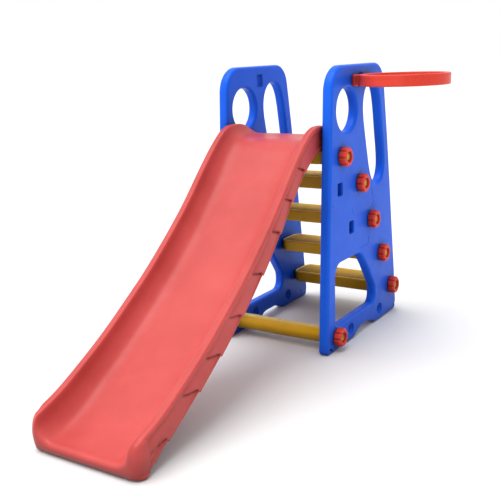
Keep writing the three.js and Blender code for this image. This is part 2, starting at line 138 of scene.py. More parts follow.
# ---------------------------------------------------------------- materials
def plastic(name, base, deep, light, rough=0.36, spec=0.22, sss=0.0, peel=0.10, wear=0.35, crease_painted_shade=0.72, broad_painted_shade=0.62, painted_top_sheen=None):
    m = bpy.data.materials.new(name); m.use_nodes = True
    nt = m.node_tree; N = nt.nodes; L = nt.links
    for n in list(N): N.remove(n)
    out = N.new("ShaderNodeOutputMaterial")
    b = N.new("ShaderNodeBsdfPrincipled")
    L.new(b.outputs[0], out.inputs[0])
    b.inputs["IOR"].default_value = 1.5
    b.inputs["Specular IOR Level"].default_value = spec
    tc = N.new("ShaderNodeTexCoord")
    # slow cloudiness of the moulded colour
    n1 = N.new("ShaderNodeTexNoise"); n1.inputs["Scale"].default_value = 5.5; n1.inputs["Detail"].default_value = 4
    n1.inputs["Roughness"].default_value = 0.55
    L.new(tc.outputs["Object"], n1.inputs["Vector"])
    r1 = N.new("ShaderNodeValToRGB")
    r1.color_ramp.elements[0].position = 0.30; r1.color_ramp.elements[0].color = (*deep, 1)
    r1.color_ramp.elements[1].position = 0.72; r1.color_ramp.elements[1].color = (*light, 1)
    e = r1.color_ramp.elements.new(0.5); e.color = (*base, 1)
    L.new(n1.outputs["Fac"], r1.inputs["Fac"])
    # fine pigment speckle
    n2 = N.new("ShaderNodeTexNoise"); n2.inputs["Scale"].default_value = 420; n2.inputs["Detail"].default_value = 2
    L.new(tc.outputs["Object"], n2.inputs["Vector"])
    r2 = N.new("ShaderNodeValToRGB")
    r2.color_ramp.elements[0].position = 0.35; r2.color_ramp.elements[0].color = (0.955, 0.955, 0.955, 1)
    r2.color_ramp.elements[1].position = 0.65; r2.color_ramp.elements[1].color = (1, 1, 1, 1)
    L.new(n2.outputs["Fac"], r2.inputs["Fac"])
    mul = N.new("ShaderNodeMix"); mul.data_type = 'RGBA'; mul.blend_type = 'MULTIPLY'; mul.inputs["Factor"].default_value = 1
    L.new(r1.outputs["Color"], mul.inputs["A"]); L.new(r2.outputs["Color"], mul.inputs["B"])
    # edges rub paler
    geo = N.new("ShaderNodeNewGeometry")
    rp = N.new("ShaderNodeValToRGB")
    rp.color_ramp.elements[0].position = 0.53; rp.color_ramp.elements[0].color = (0, 0, 0, 1)
    rp.color_ramp.elements[1].position = 0.66; rp.color_ramp.elements[1].color = (1, 1, 1, 1)
    L.new(geo.outputs["Pointiness"], rp.inputs["Fac"])
    n3 = N.new("ShaderNodeTexNoise"); n3.inputs["Scale"].default_value = 60; n3.inputs["Detail"].default_value = 5
    L.new(tc.outputs["Object"], n3.inputs["Vector"])
    mw = N.new("ShaderNodeMath"); mw.operation = 'MULTIPLY'
    L.new(rp.outputs["Color"], mw.inputs[0]); L.new(n3.outputs["Fac"], mw.inputs[1])
    mw2 = N.new("ShaderNodeMath"); mw2.operation = 'MULTIPLY'; mw2.inputs[1].default_value = wear
    L.new(mw.outputs[0], mw2.inputs[0])
    mix = N.new("ShaderNodeMix"); mix.data_type = 'RGBA'
    L.new(mw2.outputs[0], mix.inputs["Factor"]); L.new(mul.outputs["Result"], mix.inputs["A"])
    mix.inputs["B"].default_value = (*[min(1, c * 1.5 + 0.06) for c in light], 1)
    # painted shade: creases and recesses are darkened through a short-range ambient-occlusion mask
    ao = N.new("ShaderNodeAmbientOcclusion"); ao.samples = 6; ao.inputs["Distance"].default_value = 0.03
    ra = N.new("ShaderNodeMapRange"); ra.inputs["From Min"].default_value = 0.25; ra.inputs["From Max"].default_value = 0.92
    ra.inputs["To Min"].default_value = crease_painted_shade; ra.inputs["To Max"].default_value = 0.0
    L.new(ao.outputs["AO"], ra.inputs["Value"])
    mx2 = N.new("ShaderNodeMix"); mx2.data_type = 'RGBA'
    L.new(ra.outputs[0], mx2.inputs["Factor"]); L.new(mix.outputs["Result"], mx2.inputs["A"])
    mx2.inputs["B"].default_value = (*[c * 0.32 for c in deep], 1)
    # painted shade: faces near the floor and between the panels are darkened through a long-range ambient-occlusion
    # mask, weakened on upward-facing faces
    ao2 = N.new("ShaderNodeAmbientOcclusion"); ao2.samples = 6; ao2.inputs["Distance"].default_value = 0.34
    rb = N.new("ShaderNodeMapRange"); rb.inputs["From Min"].default_value = 0.30; rb.inputs["From Max"].default_value = 0.90
    rb.inputs["To Min"].default_value = broad_painted_shade; rb.inputs["To Max"].default_value = 0.0
    L.new(ao2.outputs["AO"], rb.inputs["Value"])
    sn = N.new("ShaderNodeSeparateXYZ"); L.new(geo.outputs["Normal"], sn.inputs[0])
    rn = N.new("ShaderNodeMapRange"); rn.inputs["From Min"].default_value = 0.05; rn.inputs["From Max"].default_value = 0.45
    rn.inputs["To Min"].default_value = 1.0; rn.inputs["To Max"].default_value = 0.12
    L.new(sn.outputs["Z"], rn.inputs["Value"])
    mb = N.new("ShaderNodeMath"); mb.operation = 'MULTIPLY'
    L.new(rb.outputs[0], mb.inputs[0]); L.new(rn.outputs[0], mb.inputs[1])
    mx3 = N.new("ShaderNodeMix"); mx3.data_type = 'RGBA'
    L.new(mb.outputs[0], mx3.inputs["Factor"]); L.new(mx2.outputs["Result"], mx3.inputs["A"])
    mx3.inputs["B"].default_value = (*[c * 0.34 for c in deep], 1)
    last = mx3
    if painted_top_sheen:
        # painted sheen: upward faces are lightened toward a pale colour in noisy patches
        rs = N.new("ShaderNodeMapRange"); rs.inputs["From Min"].default_value = 0.80; rs.inputs["From Max"].default_value = 0.97
        rs.inputs["To Max"].default_value = 0.95
        L.new(sn.outputs["Z"], rs.inputs["Value"])
        n7 = N.new("ShaderNodeTexNoise"); n7.inputs["Scale"].default_value = 26; n7.inputs["Detail"].default_value = 7
        n7.inputs["Distortion"].default_value = 0.4
        L.new(tc.outputs["Object"], n7.inputs["Vector"])
        rk = N.new("ShaderNodeMapRange"); rk.inputs["From Min"].default_value = 0.3; rk.inputs["From Max"].default_value = 0.62
        rk.inputs["To Min"].default_value = 0.45; rk.inputs["To Max"].default_value = 1.0
        L.new(n7.outputs["Fac"], rk.inputs["Value"])
        ms = N.new("ShaderNodeMath"); ms.operation = 'MULTIPLY'
        L.new(rs.outputs[0], ms.inputs[0]); L.new(rk.outputs[0], ms.inputs[1])
        last = N.new("ShaderNodeMix"); last.data_type = 'RGBA'
        L.new(ms.outputs[0], last.inputs["Factor"]); L.new(mx3.outputs["Result"], last.inputs["A"])
        last.inputs["B"].default_value = (*painted_top_sheen, 1)
    L.new(last.outputs["Result"], b.inputs["Base Color"])
    # gloss varies with handling marks
    n4 = N.new("ShaderNodeTexNoise"); n4.inputs["Scale"].default_value = 14; n4.inputs["Detail"].default_value = 6
    n4.inputs["Distortion"].default_value = 0.6
    L.new(tc.outputs["Object"], n4.inputs["Vector"])
    mr = N.new("ShaderNodeMapRange")
    mr.inputs["From Min"].default_value = 0.3; mr.inputs["From Max"].default_value = 0.7
    mr.inputs["To Min"].default_value = rough - 0.05; mr.inputs["To Max"].default_value = rough + 0.07
    L.new(n4.outputs["Fac"], mr.inputs["Value"]); L.new(mr.outputs[0], b.inputs["Roughness"])
    # moulded skin: fine peel over slow waviness
    n5 = N.new("ShaderNodeTexNoise"); n5.inputs["Scale"].default_value = 650; n5.inputs["Detail"].default_value = 3
    L.new(tc.outputs["Object"], n5.inputs["Vector"])
    bp = N.new("ShaderNodeBump"); bp.inputs["Strength"].default_value = peel; bp.inputs["Distance"].default_value = 0.0006
    L.new(n5.outputs["Fac"], bp.inputs["Height"])
    n6 = N.new("ShaderNodeTexNoise"); n6.inputs["Scale"].default_value = 11; n6.inputs["Detail"].default_value = 2
    L.new(tc.outputs["Object"], n6.inputs["Vector"])
    bp2 = N.new("ShaderNodeBump"); bp2.inputs["Strength"].default_value = 0.22; bp2.inputs["Distance"].default_value = 0.004
    L.new(n6.outputs["Fac"], bp2.inputs["Height"]); L.new(bp.outputs[0], bp2.inputs["Normal"])
    L.new(bp2.outputs[0], b.inputs["Normal"])
    return m

# each material's trailing arguments set how strong its painted shade is in creases and on sheltered faces; the yellow
# one also gets a painted sheen on its upward faces
RED = plastic("red_polyethylene", (0.57, 0.074, 0.068), (0.52, 0.064, 0.058), (0.62, 0.087, 0.080), rough=0.36, broad_painted_shade=0.80)
RED_NUT = plastic("red_nut", (0.76, 0.058, 0.034), (0.71, 0.050, 0.028), (0.82, 0.070, 0.044), rough=0.30, spec=0.16, peel=0.06)
BLUE = plastic("blue_polyethylene", (0.009, 0.118, 0.80), (0.007, 0.104, 0.74), (0.012, 0.134, 0.86), rough=0.32, spec=0.12)
YEL = plastic("yellow_polyethylene", (0.70, 0.385, 0.003), (0.64, 0.34, 0.002), (0.77, 0.435, 0.005), rough=0.36, spec=0.20, crease_painted_shade=0.22, broad_painted_shade=0.80, painted_top_sheen=(0.93, 0.76, 0.30))

# ---------------------------------------------------------------- chute
RIM = [[-1138, 99], [-1050, 129], [-950, 178], [-850, 234], [-750, 299], [-650, 368], [-550, 447],
       [-450, 534], [-350, 634], [-300, 682], [-250, 724], [-215, 748], [-180, 760.5], [-150, 762.5],
       [-118, 761], [-92, 755], [-68, 745], [-44, 733], [-22, 723], [0, 718], [15, 717], [40, 717], [80, 717]]
BED = [[-1132, 36.6], [-1120, 37], [-1085, 43], [-1050, 54], [-1000, 76], [-950, 104], [-850, 161], [-750, 224],
       [-650, 293], [-550, 370], [-450, 455], [-350, 556], [-300, 609], [-255, 658], [-215, 693], [-180, 711], [-145, 717],
       [-100, 717.2], [-50, 717], [15, 717]]
UND = [[-1160, 0.5], [-1128, 1.5], [-1112, 5], [-1088, 16], [-1034, 40], [-950, 83], [-850, 139], [-740, 205], [-640, 276], [-540, 353], [-440, 443],
       [-350, 540], [-300, 588], [-244, 638], [-205, 661], [-165, 678], [-140, 683.6], [-60, 683.6], [40, 683.6], [60, 683.6]]
SEAMS = [-255, -342, -420, -530, -650, -765, -874, -1018]   # y of each shingle seam on the lower edge

def polyline_hit(P, O, d):
    """distances along d from O to each crossing with the polyline P"""
    best = None
    A, B = P[:-1], P[1:]
    e = B - A
    den = d[0] * e[:, 1] - d[1] * e[:, 0]
    w = A - O
    with np.errstate(divide="ignore", invalid="ignore"):
        t = (w[:, 0] * e[:, 1] - w[:, 1] * e[:, 0]) / den
        u = (w[:, 0] * d[1] - w[:, 1] * d[0]) / den
    ok = (u >= -1e-9) & (u <= 1 + 1e-9) & np.isfinite(t)
    ts = t[ok]
    return ts

def smooth(t):
    t = min(1.0, max(0.0, t)); return t * t * (3 - 2 * t)
def flare(y): return 8.0 * smooth((y + 250) / -880)
def lift(y): return 1.2 * flare(y) * (1 - smooth((-1010 - y) / 78))
def chute_shape(x, y, z):
    """the moulding widens towards its exit, and its end swells out at mid height and tucks in at the floor"""
    x *= 1 + flare(y) / 175
    if y < -1040 and abs(x) > 125:
        w = smooth((-1040 - y) / 70) * smooth((abs(x) - 125) / 45)
        x += math.copysign(w * (5.0 * math.exp(-((z - 48) / 26) ** 2) - 8.0 * math.exp(-(z / 10) ** 2)), x)
    return (x, y, z)

def chute():
    rim = catmull(RIM, 900); und = catmull(UND, 900)
    bed = catmull(BED, 2400)
    dd = np.r_[0, np.cumsum(np.linalg.norm(np.diff(bed, axis=0), axis=1))]
    n1 = 330; s1 = np.linspace(0, dd[-1], n1)
    at = lambda q: np.stack([np.interp(q, dd, bed[:, k]) for k in (0, 1)], 1)
    st1 = at(s1); tan = np.gradient(st1, axis=0)
    k = np.hanning(41); k /= k.sum()
    pad = np.vstack([np.repeat(tan[:1], 20, 0), tan, np.repeat(tan[-1:], 20, 0)])
    tan = np.stack([np.convolve(pad[:, 0], k, "valid"), np.convolve(pad[:, 1], k, "valid")], 1)
    tan /= np.linalg.norm(tan, axis=1)[:, None]
    nrm1 = np.stack([-tan[:, 1], tan[:, 0]], 1)
    def rays(st, nrm):
        top = np.zeros_like(st); low = np.zeros_like(st)
        for i in range(len(st)):
            t = polyline_hit(rim, st[i], nrm[i]); t = t[t > -2]
            top[i] = st[i] + nrm[i] * max(t.min() if len(t) else 0.0, 0)
            t = polyline_hit(und, st[i], -nrm[i]); t = t[t > 5]
            low[i] = st[i] - nrm[i] * (t.min() if len(t) else st[i][1] - 1.5)
        return top, low
    _, low1 = rays(st1, nrm1)
    seam_s = sorted(float(np.interp(y, low1[:, 0], s1)) for y in SEAMS)
    # stations crowd together at the seams
    fine = np.linspace(0, dd[-1], 6000); dens = np.ones(6000)
    for q in seam_s: dens += 1.2 * np.exp(-((fine - q) / 6.0) ** 2)
    dens += 1.0 * (fine < 60) + 1.0 * (fine > dd[-1] - 30)
    cum = np.cumsum(dens); NS = 560
    ss = np.interp(np.linspace(cum[0], cum[-1], NS), cum, fine)
    st = at(ss); nrm = np.stack([np.interp(ss, s1, nrm1[:, k_]) for k_ in (0, 1)], 1)
    nrm /= np.linalg.norm(nrm, axis=1)[:, None]
    top, low = rays(st, nrm)
    # shingles: each swells towards its lower end and steps back at the seam
    fs_ = np.linspace(0, dd[-1] + 150, 3400)
    saw = np.zeros(len(fs_)); groove = np.zeros(len(fs_))
    for i, q in enumerate(fs_):
        below = [t for t in seam_s if t <= q]; above = [t for t in seam_s if t > q]
        if below:
            a = below[-1]; b = above[0] if above else a + 90
            u = (q - a) / (b - a)
            if u <= 1: saw[i] = min(1.0, (q - a) / 3.5) * (1 - u)
        for t in seam_s: groove[i] = max(groove[i], math.exp(-((q - t + 1.0) / 2.6) ** 2))
    at_s = lambda arr, q: float(np.interp(q, fs_, arr))
    saw_f, groove_f = saw, groove
    fade = np.clip((st[:, 0] + 1112) / 60, 0, 1) * np.clip((-190 - st[:, 0]) / 40, 0, 1)
    saw = np.interp(ss, fs_, saw_f) * fade
    low = low + np.array([0, 1.0]) * np.array([lift(y) for y in low[:, 0]])[:, None]
    low = low - nrm * (saw * 7.0)[:, None]
    low[:, 1] = np.maximum(low[:, 1], 0.0)
    # section: x, share of the rim height, drop below it, lift of the lower edge
    sec = [(0, 0, 0, 0), (35, 0, 0, 0), (65, 0, 0, 0), (85, .003, 0, 0), (100, .014, 0, 0), (111, .045, 0, 0), (119, .105, 0, 0), (125.5, .185, 0, 0),
           (131, .275, 0, 0), (135.8, .375, 0, 0), (139.8, .475, 0, 0), (143, .575, 0, 0), (145.6, .675, 0, 0), (147.6, .77, 0, 0), (149.2, .86, 0, 0),
           (150.8, .94, 0, 0), (152.6, 1, 0, 0), (154.6, 1, -.5, 0), (156.6, 1, .3, 0), (159, 1, 1.9, 0), (162, 1, 2.5, 0), (165, 1, 2.1, 0), (167.2, 1, .9, 0.2), (169, 1, .2, .8),
           (170.6, 1, .7, 1.8), (172.2, 1, 1.7, 3.4), (173.6, 1, 3.4, 5.4), (174.6, 1, 6.0, 7.8), (175, 1, 9.2, 10.5)]
    cols = [(-x, f, d, u) for x, f, d, u in reversed(sec) if x > 0] + sec
    F = 14
    fb = catmull([[-1132, 36.6], [-1138.5, 36.4], [-1144, 34.6], [-1147.6, 30.5], [-1149, 24], [-1147.5, 15], [-1141, 5.5], [-1129, 1]], F + 2)[1:-1]
    V = []
    def put(x, y, z):
        V.append(chute_shape(x, y, z)); return len(V) - 1
    C = len(cols)
    TI = np.zeros((C, NS), int); BI = np.zeros((C, NS), int); FI = np.zeros((C, F), int); RI = np.zeros((C, F), int)
    rnose = catmull([tuple(top[0]), (-1143, 93), (-1148.2, 84), (-1150, 72), (-1150, 50), (-1149, 28), (-1147, 14), (-1140, 4.5), (-1129, 1)], F + 2)[1:-1]
    rear = catmull([(15, 717), (20.5, 715.3), (23.4, 711), (24, 705), (24, 695), (23.2, 689.5), (20.5, 685.6), (15, 683.6)], F + 2)[1:-1]
    for ci, (x, f, d, up) in enumerate(cols):
        ax = abs(x)
        Rf = 34.0
        df = Rf - math.sqrt(max(0, Rf * Rf - max(0, ax - (175 - Rf)) ** 2)) if ax > 175 - Rf else 0
        Rr = 10.0
        dr = Rr - math.sqrt(max(0, Rr * Rr - max(0, ax - (175 - Rr)) ** 2)) if ax > 175 - Rr else 0
        P = st + (top - st) * f - nrm * d
        Q = low + nrm * up
        def plan(p):
            w = smooth((-1090 - p[0]) / 46)
            w2 = smooth(p[0] / 15)
            return (p[0] + df * w - dr * w2, p[1])
        for k_ in range(NS):
            a = plan(P[k_]); TI[ci, k_] = put(x, a[0], a[1])
            a = plan(Q[k_]); BI[ci, k_] = put(x, a[0], a[1])
        for j in range(F):
            g = (fb[j] * (1 - f) + rnose[j] * f)
            t = (j + 1) / (F + 1)
            g = np.array([g[0], g[1] - d * (1 - t) + up * t])
            a = plan(g); FI[ci, j] = put(x, a[0], a[1])
            g = np.array([rear[j][0], rear[j][1] - d * (1 - t) + up * t])
            a = plan(g); RI[ci, j] = put(x, a[0], a[1])
    faces = grid_faces(TI) + [tuple(reversed(q)) for q in grid_faces(BI)]
    fr = np.concatenate([TI[:, :1], FI, BI[:, :1]], 1); faces += [tuple(reversed(q)) for q in grid_faces(fr)]
    rr = np.concatenate([TI[:, -1:], RI, BI[:, -1:]], 1); faces += grid_faces(rr)
    # skirts
    fs = np.array([0.045, 0.09, 0.135, 0.18, 0.235, 0.30, 0.37, 0.45, 0.54, 0.64, 0.74, 0.83, 0.91, 0.965])
    for side, c in ((-1, 0), (1, C - 1)):
        G = np.zeros((F + 2, NS), int)
        G[0] = TI[c]; G[-1] = BI[c]
        for j in range(F):
            f = fs[j]
            flange = 3.4 * smooth((f - 0.05) / 0.13)
            half = smooth((f - 0.20) / 0.22)
            for k_ in range(NS):
                a = st[k_] + (top[k_] - st[k_]) - nrm[k_] * 9.2
                b = low[k_] + nrm[k_] * 10.5
                p = a + (b - a) * f
                # the seams run nearly level, so they lean against the section lines
                th = math.atan2(nrm[k_][0], nrm[k_][1]) * -1
                phi = math.radians(10 + 9 * smooth((p[1] - 150) / 400))
                h = math.hypot(*(b - p))
                q = ss[k_] + h / math.tan(max(0.35, th + phi))
                off = flange - half * fade[k_] * (3.6 * at_s(saw_f, q) - 6.2 * at_s(groove_f, q))
                ends = min(1, k_ / 14) * min(1, (NS - 1 - k_) / 14)
                w = smooth((-1090 - p[0]) / 46); w2 = smooth(p[0] / 15)
                G[j + 1, k_] = put(side * (175 - off * ends), p[0] + 34.0 * w - 10.0 * w2, p[1])
        H = np.zeros((F + 2, NS + 2), int)
        H[:, 1:-1] = G
        H[1:-1, 0] = FI[c]; H[1:-1, -1] = RI[c]
        q = []
        for i in range(F + 1):
            for j in range(NS + 1):
                if j == 0:
                    if i == 0: q.append((H[1, 0], H[0, 1], H[1, 1]))
                    elif i == F: q.append((H[i, 0], H[i, 1], H[F + 1, 1]))
                    else: q.append((H[i, 0], H[i, 1], H[i + 1, 1], H[i + 1, 0]))
                elif j == NS:
                    if i == 0: q.append((H[0, NS], H[1, NS + 1], H[1, NS]))
                    elif i == F: q.append((H[i, NS], H[i, NS + 1], H[F + 1, NS]))
                    else: q.append((H[i, NS], H[i, NS + 1], H[i + 1, NS + 1], H[i + 1, NS]))
                else:
                    q.append((H[i, j], H[i, j + 1], H[i + 1, j + 1], H[i + 1, j]))
        faces += q if side < 0 else [tuple(reversed(t)) for t in q]
    return make("chute_moulding", V, faces, RED, replaces=["chute"])
chute()

# ---------------------------------------------------------------- side panels
OUTLINE = [(-204.5, 0, 14), (8, 0, 34), (52, 24, 60), (135, 24, 60), (196, 0, 34), (384, 0, 15),
           (390.5, 36, 30), (376, 160, 260), (350, 340, 500), (326, 510, 500), (300, 680, 500),
           (273, 838, 160), (252, 950, 76), (-149, 950, 88)]
SLOT = [[153, 889], [121, 876], [99, 849], [89, 812], [92, 770], [102, 726], [113, 684], [125, 641], [137, 600],
        [154, 563], [178, 536], [210, 527], [242, 541], [260, 574], [262, 612], [256, 655], [247, 700],
        [238, 750], [228, 800], [213, 847], [188, 879]]
WINDOW = [(-136, 84, 20), (186, 84, 30), (187, 142, 44), (118, 238, 150), (62, 300, 52), (-136, 300, 44)]
SOCKETS = [(62, 898.5), (-98, 551), (-12, 407)]

def ell(cy, cz, a, b, n):
    w = np.linspace(0, 2 * np.pi, n, endpoint=False)
    return np.stack([cy + a * np.cos(w), cz + b * np.sin(w)], 1)

def plate(name, outlines, half, r, res=6):
    cu = bpy.data.curves.new(name, "CURVE"); cu.dimensions = "2D"; cu.fill_mode = "BOTH"
    cu.extrude = (half - r) / 1000; cu.bevel_depth = r / 1000; cu.bevel_resolution = res; cu.offset = -r / 1000
    for o in outlines:
        sp = cu.splines.new("POLY"); sp.points.add(len(o) - 1)
        for p, q in zip(sp.points, o): p.co = (q[0] / 1000, q[1] / 1000, 0, 1)
        sp.use_cyclic_u = True
    ob = bpy.data.objects.new(name + "_c", cu); bpy.context.scene.collection.objects.link(ob)
    bpy.context.view_layer.update()
    me = bpy.data.meshes.new_from_object(ob.evaluated_get(bpy.context.evaluated_depsgraph_get()))
    bpy.data.objects.remove(ob); bpy.data.curves.remove(cu)
    bm = bmesh.new(); bm.from_mesh(me)
    bmesh.ops.remove_doubles(bm, verts=bm.verts, dist=2e-6)
    bmesh.ops.recalc_face_normals(bm, faces=bm.faces)
    bm.to_mesh(me); bm.free()
    co = np.zeros(len(me.vertices) * 3); me.vertices.foreach_get("co", co); co = co.reshape(-1, 3)
    return co * 1000, [tuple(p.vertices) for p in me.polygons]      # (y, z, thickness)

def prism(rings):
    """closed solid through rings of points that all have the same count, capped at both ends"""
    n = len(rings[0]); V = [tuple(p) for r in rings for p in r]; Fc = []
    for i in range(len(rings) - 1):
        for j in range(n):
            Fc.append((i * n + j, i * n + (j + 1) % n, (i + 1) * n + (j + 1) % n, (i + 1) * n + j))
    Fc.append(tuple(reversed(range(n)))); Fc.append(tuple(range((len(rings) - 1) * n, len(rings) * n)))
    return V, Fc

def cutter(name, V, Fc):
    me = bpy.data.meshes.new(name); me.from_pydata([tuple(p) for p in R3(V)], [], Fc)
    bm = bmesh.new(); bm.from_mesh(me); bmesh.ops.recalc_face_normals(bm, faces=bm.faces); bm.to_mesh(me); bm.free()
    ob = bpy.data.objects.new(name, me); bpy.context.scene.collection.objects.link(ob)
    return ob

def pocket(face_x, sgn, loop_fn, levels):
    """levels: (depth below the face, shrink)"""
    rings = []
    for depth, grow in levels:
        L = loop_fn(grow)
        rings.append([(face_x - sgn * depth, p[0], p[1]) for p in L])
    return prism(rings)

def flat_faces(me, min_area=2e-5):
    """the broad flat faces stay exactly flat in shading; everything beside them keeps its soft edge"""
    own = np.zeros((len(me.vertices), 3)); best = np.zeros(len(me.vertices))
    xs = np.array([v.co.x for v in me.vertices])
    lo, hi = xs.min(), xs.max()
    for p in me.polygons:
        if abs(p.normal.x) > 0.9995 and (abs(p.center.x - lo) < 1e-4 or abs(p.center.x - hi) < 1e-4):
            for v in p.vertices: own[v] = (math.copysign(1, p.normal.x), 0, 0)
    me.set_sharp_from_angle(angle=math.radians(50))
    me.normals_split_custom_set_from_vertices([tuple(n) for n in own])

def panel(side, name, node):
    w = (T_OUT - T_IN) / 2; mid = (T_OUT + T_IN) / 2
    outs = [densify(filleted(OUTLINE, 0.09), 14), ell(-42, 806, 75, 72, 96), catmull(SLOT, 120, True), densify(filleted(WINDOW, 0.1), 14)]
    co, fc = plate(name, outs, w, 10.0)
    V = np.stack([side * (mid + co[:, 2]), co[:, 0], co[:, 1]], 1)
    ob = make(name, V, fc, BLUE, replaces=[node])
    cuts = []
    def sock(y, z):
        return lambda g: filleted([(y - 18 - g, z - 21 - g, 5 + g), (y + 18 + g, z - 21 - g, 5 + g), (y + 18 + g, z + 21 + g, 5 + g), (y - 18 - g, z + 21 + g, 5 + g)], 0.4)
    for y, z in SOCKETS:
        cuts.append(pocket(side * T_OUT, side, sock(y, z), [(-4, 6), (0, 2.6), (1.6, 1.0), (4, 0), (16, -0.8), (19.5, -2.5)]))
        if z > 800:
            cuts.append(pocket(side * T_IN, -side, sock(y, z), [(-4, 6), (0, 2.6), (1.6, 1.0), (4, 0), (9.5, -1.5)]))
    for y, z in ((228, 42), (-22, 42)):
        for f, s in ((side * T_OUT, side), (side * T_IN, -side)):
            cuts.append(pocket(f, s, lambda g: ell(y, z, 22 + g, 22 + g, 48), [(-4, 6), (0, 2.4), (1.5, .8), (3.5, 0), (6, -1), (6.6, -8), (9, -9.5), (12, -11)]))
    for y, z in TREADS + [TUBE]:
        cuts.append(pocket(side * T_OUT, side, lambda g: ell(y, z, 12.6 + g, 12.6 + g, 40), [(-4, 0), (40, 0)]))
    for y, z, a in ((374, 17, 0.6), (-176, 15, -0.5)):
        c, s = math.cos(a), math.sin(a)
        def key(g, y=y, z=z, c=c, s=s):
            return [(y + u * c - v * s, z + u * s + v * c) for u, v in filleted([(-13 - g, -4 - g, 3), (13 + g, -4 - g, 3), (13 + g, 4 + g, 3), (-13 - g, 4 + g, 3)], 0.5)]
        cuts.append(pocket(side * T_OUT, side, key, [(-4, 3), (0, 1.2), (1.5, 0), (9, -0.5)]))
    for i, (cv, cf) in enumerate(cuts):
        c = cutter("cut", cv, cf)
        m = ob.modifiers.new("cut", "BOOLEAN"); m.object = c; m.operation = "DIFFERENCE"; m.solver = "MANIFOLD"
        bpy.context.view_layer.update()
        me = bpy.data.meshes.new_from_object(ob.evaluated_get(bpy.context.evaluated_depsgraph_get()))
        old = ob.data; ob.modifiers.clear(); ob.data = me; bpy.data.meshes.remove(old)
        cm = c.data; bpy.data.objects.remove(c); bpy.data.meshes.remove(cm)
    me = ob.data
    me.materials.clear(); me.materials.append(BLUE)
    for p in me.polygons: p.use_smooth = True; p.material_index = 0
    flat_faces(me)
    return ob

def ridge(name, pts, side, r=2.0, lift=0.9, closed=False, body="frame"):
    """a low moulded bead along the outer face"""
    P = catmull(pts, max(12, int(sum(np.linalg.norm(np.diff(np.array(pts, float), axis=0), axis=1)) / 5)), closed)
    T = np.gradient(P, axis=0); T /= np.linalg.norm(T, axis=1)[:, None]
    Nn = np.stack([-T[:, 1], T[:, 0]], 1)
    prof = [(-r * 1.5, -1.2), (-r * 1.2, 0.0), (-r * .6, lift * .8), (0, lift), (r * .6, lift * .8), (r * 1.2, 0.0), (r * 1.5, -1.2)]
    V = []; n = len(P)
    for i in range(n):
        e = min(1, min(i, n - 1 - i) / 3) if not closed else 1
        for u, h in prof:
            q = P[i] + Nn[i] * u * (0.35 + 0.65 * e)
            V.append((side * (T_OUT + h * e - (1 - e) * 0.8), q[0], q[1]))
    m = len(prof); idx = np.arange(n * m).reshape(n, m)
    Fc = grid_faces(idx)
    Fc += [tuple(idx[0]), tuple(reversed(idx[-1]))]
    Fc += [(idx[i, 0], idx[i, -1], idx[i + 1, -1], idx[i + 1, 0]) for i in range(n - 1)]
    return make(name, V, Fc, BLUE, body=body)

for s, nm in ((-1, "left"), (1, "right")):
    panel(s, "panel_" + nm, "side_panel_" + nm)
    ridge("panel_bead_upper_" + nm, [(140, 525), (160, 503), (168, 480), (166, 458), (148, 447), (110, 444), (72, 443), (40, 443), (10, 447), (-4, 462), (-6, 486)], s)
    ridge("panel_bead_lower_" + nm, [(119, 356), (131, 338), (127, 323), (106, 318), (78, 317), (50, 318)], s)

# ---------------------------------------------------------------- studs, treads, tube
def thread_mesh(y, z, x0, x1, r=12.0, pitch=5.0, depth=1.3, seg=32):
    """a threaded stud end from x0 to x1 with a domed, chamfered tip at x1"""
    sg = 1 if x1 > x0 else -1
    Ln = abs(x1 - x0); nx = int(Ln / (pitch / 8)); V = []; Fc = []
    rings = nx + 1
    for i in range(rings):
        u = Ln * i / nx
        fade = min(1, (Ln - u) / 2.5); 
        for j in range(seg):
            a = 2 * math.pi * j / seg
            ph = (u / pitch - sg * a / (2 * math.pi)) % 1.0
            tri = abs(2 * ph - 1)
            rr = r - depth * (1 - tri) - 1.4 * (1 - fade)
            V.append((x0 + sg * u, y + rr * math.cos(a), z + rr * math.sin(a)))
    for i in range(rings - 1):
        for j in range(seg):
            Fc.append((i * seg + j, i * seg + (j + 1) % seg, (i + 1) * seg + (j + 1) % seg, (i + 1) * seg + j))
    base = (rings - 1) * seg
    # tip: a shallow dished face
    last = base
    for rr, dx in ((r * .74, 0.0), (r * .66, -1.2), (r * .3, -1.6)):
        n0 = len(V)
        for j in range(seg):
            a = 2 * math.pi * j / seg
            V.append((x1 + sg * dx, y + rr * math.cos(a), z + rr * math.sin(a)))
        for j in range(seg):
            Fc.append((last + j, last + (j + 1) % seg, n0 + (j + 1) % seg, n0 + j))
        last = n0
    Fc.append(tuple(last + j for j in range(seg)))
    Fc.append(tuple(reversed(range(seg))))
    return V, Fc

